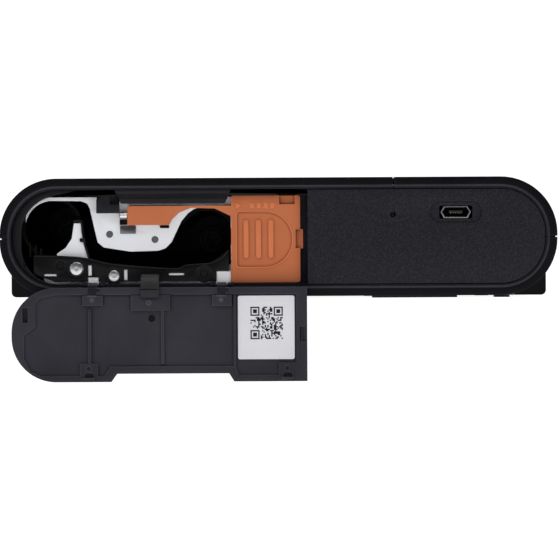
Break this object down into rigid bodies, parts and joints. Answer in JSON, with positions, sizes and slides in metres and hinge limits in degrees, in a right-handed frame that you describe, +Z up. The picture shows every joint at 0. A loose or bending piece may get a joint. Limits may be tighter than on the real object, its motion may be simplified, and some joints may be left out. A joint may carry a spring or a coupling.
{
  "type": "pocket ribbon printer",
  "caption": "Pocket printer for square adhesive prints: stadium-section case, hanging cartridge door, sprung eject slider, ribbon bay, roller train and top paper lid.",
  "frame": {"origin": "middle of the case in the plane of its rubber feet; the open door hangs below that plane", "axes": "+X along the case towards the socket end, +Y from the door side to the back, +Z up out of the paper lid"},
  "size_m": [0.1432, 0.1067, 0.0525],
  "materials": {
    "shell": "semi-gloss moulded shell with a very fine grain",
    "lid": "fine matt grain",
    "side_panel": "matt dark grey with a moulded texture",
    "inner_frame": "smooth dark grey moulding",
    "door": "satin dark grey, lighter than the shell",
    "slider": "satin rust orange",
    "chassis_white": "bright satin coating on sheet steel",
    "steel": "turned or pressed steel",
    "screws": "blackened steel",
    "spring": "bright spring wire",
    "mechanism_black": "satin black engineering plastic",
    "trough": "glossy black",
    "rubber": "soft black rubber",
    "strap": "flexible matt black",
    "gears": "natural acetal",
    "hubs": "natural white acetal",
    "brass": "turned brass",
    "motor_can": "nickel plated can",
    "aluminium": "extruded",
    "ceramic": "glazed ceramic",
    "board": "solder mask over glass fibre",
    "board_parts": "moulded packages",
    "socket": "plated sheet steel",
    "battery": "printed film wrap",
    "label": "white film",
    "flaps": "satin",
    "button": "satin, soft edge",
    "reset": "natural"
  },
  "bodies": {
    "case": {"lower_shell": "shell", "upper_shell": "shell", "front_shell": "shell", "side_panel": "side_panel", "rear_panel": "side_panel", "bay_frame": "inner_frame", "grip_panel": "inner_frame", "rubber_feet": "rubber", "case_screws": "screws", "door_hinge_pins": "steel", "door_strap": "strap", "eject_spring": "spring", "chassis_plate": "chassis_white", "rear_chassis_plate": "steel", "chassis_rods": "steel", "chassis_screws": "screws", "bearing_carrier": "mechanism_black", "rear_bearing_carrier": "mechanism_black", "supply_trough": "trough", "takeup_trough": "trough", "pinch_strut": "mechanism_black", "motor": "motor_can", "gear_pins": "steel", "head_pivot": "steel", "paper_tray": "mechanism_black", "paper_chute": "mechanism_black", "lid_hinge_pins": "steel", "main_board": "board", "board_parts": "board_parts", "usb_socket": "socket", "battery": "battery"},
    "door": {"cartridge_door": "door", "door_label": "label"},
    "slider": {"eject_slider": "slider"},
    "supply": {"supply_hub": "hubs"},
    "takeup": {"takeup_hub": "hubs", "takeup_gear": "gears"},
    "platen": {"platen_shaft": "steel", "platen_rubber": "rubber", "platen_gear": "gears"},
    "feed": {"feed_shaft": "steel", "feed_gear": "gears"},
    "pinch": {"pinch_roller": "steel"},
    "feed_idler": {"feed_idler": "gears"},
    "link": {"link_gear": "gears"},
    "reduction": {"reduction_gear": "gears"},
    "pinion": {"motor_pinion": "brass"},
    "pickup_idler": {"pickup_idler": "gears"},
    "pickup": {"pickup_shaft": "steel", "pickup_tyres": "rubber", "pickup_gear": "gears"},
    "head": {"head_arm": "steel", "head_heatsink": "aluminium", "head_element": "ceramic"},
    "lid": {"paper_lid": "lid", "pressure_plate": "steel"},
    "exit_flap": {"exit_flap": "flaps"},
    "rear_flap": {"rear_flap": "flaps"},
    "power_button": {"power_button": "button"},
    "reset_button": {"reset_button": "reset"}
  },
  "joints": [
    {"name": "door_hinge", "type": "hinge", "parent": "case", "child": "door", "pos_m": [-0.0307, -0.05125, 0.0033], "axis": [-1, 0, 0], "range_deg": [0, 180], "deforming": ["door_strap"]},
    {"name": "eject_slide", "type": "slide", "parent": "case", "child": "slider", "axis": [1, 0, 0], "range_m": [0, 0.003], "stiffness_N_per_m": 120, "springref_m": -0.002, "deforming": ["eject_spring"]},
    {"name": "lid_hinge", "type": "hinge", "parent": "case", "child": "lid", "pos_m": [-0.0545, 0, 0.0286], "axis": [0, -1, 0], "range_deg": [0, 95]},
    {"name": "head_hinge", "type": "hinge", "parent": "case", "child": "head", "pos_m": [-0.0286, 0, 0.0179], "axis": [0, -1, 0], "range_deg": [0, 12.5], "stiffness_Nm_per_rad": 0.02, "springref_deg": -20.05},
    {"name": "feed_turn", "type": "hinge", "parent": "case", "child": "feed", "pos_m": [-0.0521, 0, 0.0078], "axis": [0, 1, 0], "continuous": true},
    {"name": "platen_turn", "type": "hinge", "parent": "case", "child": "platen", "pos_m": [-0.0424, 0, 0.0059], "axis": [0, 1, 0], "continuous": true},
    {"name": "feed_idler_turn", "type": "hinge", "parent": "case", "child": "feed_idler", "pos_m": [-0.04561, 0, 0.01155], "axis": [0, 1, 0], "continuous": true},
    {"name": "link_turn", "type": "hinge", "parent": "case", "child": "link", "pos_m": [-0.03475, 0, 0.01605], "axis": [0, 1, 0], "continuous": true},
    {"name": "takeup_turn", "type": "hinge", "parent": "case", "child": "takeup", "pos_m": [-0.0185, 0, 0.016], "axis": [0, 1, 0], "continuous": true},
    {"name": "reduction_turn", "type": "hinge", "parent": "case", "child": "reduction", "pos_m": [-0.00707, 0, 0.01724], "axis": [0, 1, 0], "continuous": true},
    {"name": "pinion_turn", "type": "hinge", "parent": "case", "child": "pinion", "pos_m": [0.004, 0, 0.0126], "axis": [0, 1, 0], "continuous": true},
    {"name": "pickup_idler_turn", "type": "hinge", "parent": "case", "child": "pickup_idler", "pos_m": [0.01029, 0, 0.01972], "axis": [0, 1, 0], "continuous": true},
    {"name": "pickup_turn", "type": "hinge", "parent": "case", "child": "pickup", "pos_m": [0.0206, 0, 0.0217], "axis": [0, 1, 0], "continuous": true},
    {"name": "pinch_turn", "type": "hinge", "parent": "case", "child": "pinch", "pos_m": [-0.05252, 0, 0.01198], "axis": [0, 1, 0], "continuous": true},
    {"name": "supply_turn", "type": "hinge", "parent": "case", "child": "supply", "pos_m": [-0.0584, 0, 0.0184], "axis": [0, 1, 0], "continuous": true},
    {"name": "exit_flap_hinge", "type": "hinge", "parent": "case", "child": "exit_flap", "pos_m": [-0.0687, 0, 0.00655], "axis": [0, 1, 0], "range_deg": [0, 75]},
    {"name": "rear_flap_hinge", "type": "hinge", "parent": "case", "child": "rear_flap", "pos_m": [0.0687, 0, 0.00655], "axis": [0, -1, 0], "range_deg": [0, 75]},
    {"name": "power_press", "type": "slide", "parent": "case", "child": "power_button", "axis": [0, 0, -1], "range_m": [0, 0.0005], "stiffness_N_per_m": 300, "springref_m": -0.0005},
    {"name": "reset_press", "type": "slide", "parent": "case", "child": "reset_button", "axis": [0, 1, 0], "range_m": [0, 0.00025], "stiffness_N_per_m": 300, "springref_m": -0.00025}
  ],
  "couplings": [
    {"joint": "platen_turn", "follows": "feed_turn", "ratio": 1.3333},
    {"joint": "feed_idler_turn", "follows": "feed_turn", "ratio": -1.1429},
    {"joint": "link_turn", "follows": "feed_turn", "ratio": 0.48485},
    {"joint": "takeup_turn", "follows": "feed_turn", "ratio": -0.5},
    {"joint": "reduction_turn", "follows": "feed_turn", "ratio": 1.1429},
    {"joint": "pinion_turn", "follows": "feed_turn", "ratio": -3.4286},
    {"joint": "pickup_idler_turn", "follows": "feed_turn", "ratio": 1.5824},
    {"joint": "pickup_turn", "follows": "feed_turn", "ratio": -2.5714},
    {"joint": "pinch_turn", "follows": "feed_turn", "ratio": -1.2941}
  ]
}
